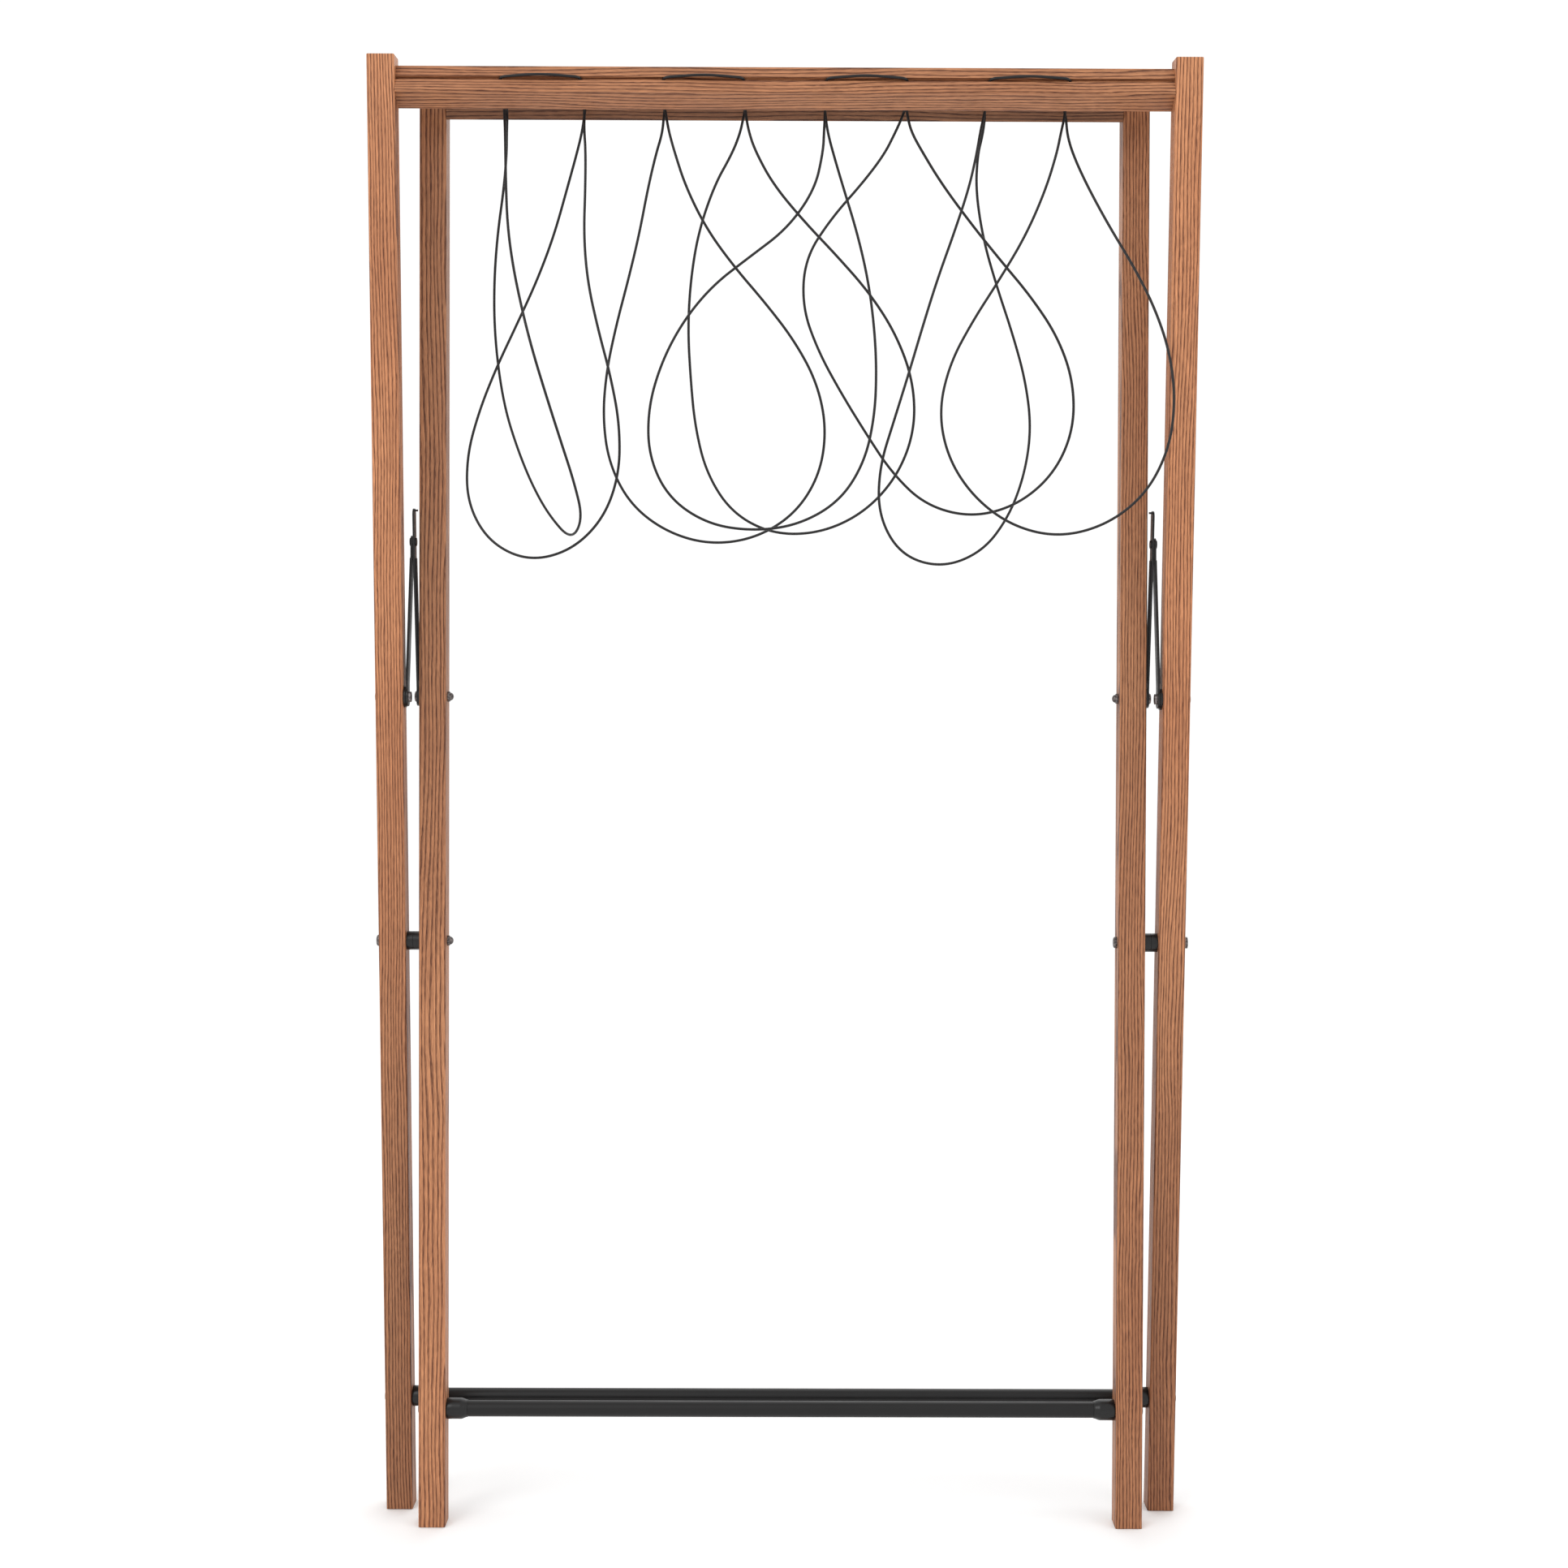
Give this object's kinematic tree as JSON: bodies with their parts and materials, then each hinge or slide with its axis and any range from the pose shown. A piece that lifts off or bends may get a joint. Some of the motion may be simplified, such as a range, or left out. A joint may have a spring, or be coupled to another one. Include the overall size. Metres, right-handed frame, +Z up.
{
  "type": "folding clothes drying rack",
  "caption": "Folding wooden clothes drying rack: two crossed leg frames on a pivot, black cord drying lines laced between the top rails, tube crossbars and locking stays.",
  "frame": {"origin": "on the floor, midway between the legs, below the main pivots", "axes": "+X to the right along the rails, +Y to the rear (from the front rail towards the rear rail), +Z up; stored nearly closed"},
  "size_m": [0.9126, 0.2202, 1.6277],
  "materials": {
    "wood": "satin reddish brown oiled hardwood with fine straight grain",
    "cord": "smooth black coated cord with a soft gloss",
    "black_plastic": "matte black moulded plastic",
    "black_metal": "satin black powder-coated steel"
  },
  "bodies": {
    "inner_frame": {"inner_leg_left": "wood", "inner_leg_right": "wood", "rear_rail": "wood", "rear_rail_screws": "black_metal", "front_tube": "black_metal", "front_tube_screws": "black_metal", "front_tube_socket_left": "black_plastic", "front_tube_socket_right": "black_plastic", "pivot_bolt_left": "black_metal", "pivot_bolt_right": "black_metal", "pivot_nut_left": "black_metal", "pivot_nut_right": "black_metal", "pivot_spacer_inner_left": "black_plastic", "pivot_spacer_inner_right": "black_plastic", "inner_stay_bolt_left": "black_metal", "inner_stay_bolt_right": "black_metal", "inner_stay_pad_left": "black_plastic", "inner_stay_pad_right": "black_plastic", "inner_stay_nut_left": "black_metal", "inner_stay_nut_right": "black_metal", "rear_turn_2_3": "cord", "rear_turn_4_5": "cord", "rear_turn_6_7": "cord", "line_ends": "cord"},
    "outer_frame": {"outer_leg_left": "wood", "outer_leg_right": "wood", "front_rail": "wood", "front_rail_screws": "black_metal", "rear_tube": "black_metal", "rear_tube_screws": "black_metal", "rear_tube_socket_left": "black_plastic", "rear_tube_socket_right": "black_plastic", "pivot_spacer_outer_left": "black_plastic", "pivot_spacer_outer_right": "black_plastic", "outer_stay_bolt_left": "black_metal", "outer_stay_bolt_right": "black_metal", "outer_stay_pad_left": "black_plastic", "outer_stay_pad_right": "black_plastic", "outer_stay_nut_left": "black_metal", "outer_stay_nut_right": "black_metal", "front_turn_1_2": "cord", "front_turn_3_4": "cord", "front_turn_5_6": "cord", "front_turn_7_8": "cord", "line_1": "cord", "line_2": "cord", "line_3": "cord", "line_4": "cord", "line_5": "cord", "line_6": "cord", "line_7": "cord", "line_8": "cord"},
    "outer_stay_left": {"outer_stay_link_left": "black_metal", "outer_stay_rivet_left": "black_metal"},
    "inner_stay_left": {"inner_stay_link_left": "black_metal", "inner_stay_rivet_left": "black_metal"},
    "outer_stay_right": {"outer_stay_link_right": "black_metal", "outer_stay_rivet_right": "black_metal"},
    "inner_stay_right": {"inner_stay_link_right": "black_metal", "inner_stay_rivet_right": "black_metal"}
  },
  "joints": [
    {"name": "fold", "type": "hinge", "parent": "inner_frame", "child": "outer_frame", "pos_m": [0, 0, 0.658], "axis": [1, 0, 0], "range_deg": [0, 73.2]},
    {"name": "outer_stay_left_turn", "type": "hinge", "parent": "outer_frame", "child": "outer_stay_left", "pos_m": [0, -0.0115, 0.93236], "axis": [1, 0, 0], "range_deg": [-123, 0]},
    {"name": "inner_stay_left_turn", "type": "hinge", "parent": "inner_frame", "child": "inner_stay_left", "pos_m": [0, 0.0115, 0.93236], "axis": [1, 0, 0], "range_deg": [0, 123]},
    {"name": "outer_stay_right_turn", "type": "hinge", "parent": "outer_frame", "child": "outer_stay_right", "pos_m": [0, -0.0115, 0.93236], "axis": [1, 0, 0], "range_deg": [-123, 0]},
    {"name": "inner_stay_right_turn", "type": "hinge", "parent": "inner_frame", "child": "inner_stay_right", "pos_m": [0, 0.0115, 0.93236], "axis": [1, 0, 0], "range_deg": [0, 123]}
  ],
  "couplings": [
    {"joint": "outer_stay_left_turn", "follows": "fold", "ratio": -1.6774},
    {"joint": "inner_stay_left_turn", "follows": "fold", "ratio": 1.6774},
    {"joint": "outer_stay_right_turn", "follows": "fold", "ratio": -1.6774},
    {"joint": "inner_stay_right_turn", "follows": "fold", "ratio": 1.6774}
  ]
}
